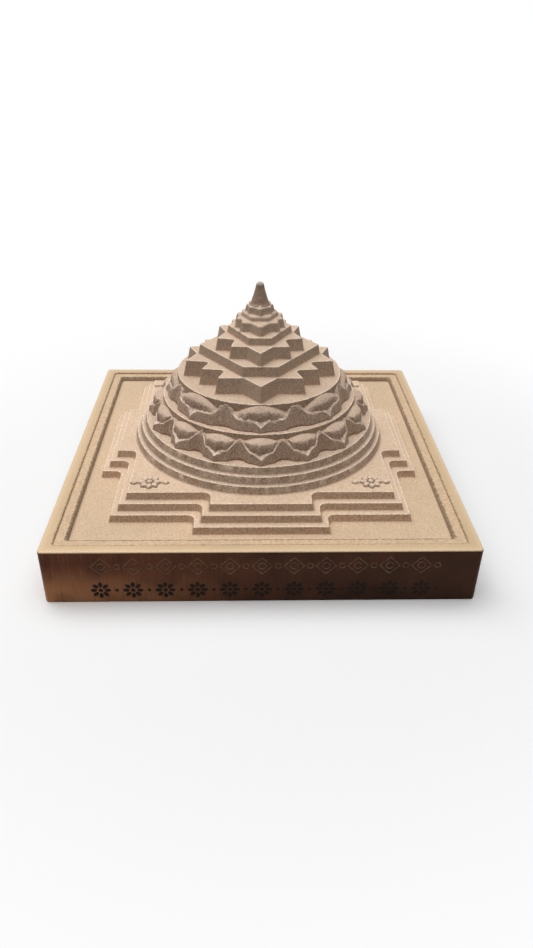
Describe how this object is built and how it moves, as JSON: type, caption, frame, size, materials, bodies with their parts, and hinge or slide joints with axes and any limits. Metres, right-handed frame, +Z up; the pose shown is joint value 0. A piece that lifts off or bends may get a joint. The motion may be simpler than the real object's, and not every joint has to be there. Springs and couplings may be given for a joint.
{
  "type": "meru shri yantra",
  "caption": "Stepped brass meru shri yantra: a square plate carries gated terraces, rings, lotus petal collars and star tiers that rise to a small bindu.",
  "frame": {"origin": "middle of the underside of the base plate", "axes": "+Z up through the bindu, -Y towards the front, where the front point of every star lies, +X to the right"},
  "size_m": [0.076, 0.076, 0.0455],
  "materials": {
    "plate_brass": "milled, fine vertical marks on the sides, bright rim",
    "relief_brass": "milled, matt",
    "bindu_brass": "milled, satin"
  },
  "bodies": {
    "root": {"base_plate": "plate_brass", "gate_terrace_lower": "relief_brass", "gate_terrace_middle": "relief_brass", "gate_terrace_upper": "relief_brass", "ring_lower": "relief_brass", "ring_middle": "relief_brass", "ring_upper": "relief_brass", "drum_outer": "relief_brass", "petals_sixteen": "relief_brass", "drum_inner": "relief_brass", "petals_eight": "relief_brass", "star_fourteen": "relief_brass", "hexagon_lower": "relief_brass", "star_ten_outer": "relief_brass", "hexagon_middle": "relief_brass", "star_ten_inner": "relief_brass", "hexagon_upper": "relief_brass", "star_eight": "relief_brass", "triangle": "relief_brass", "bindu": "bindu_brass"}
  },
  "joints": []
}
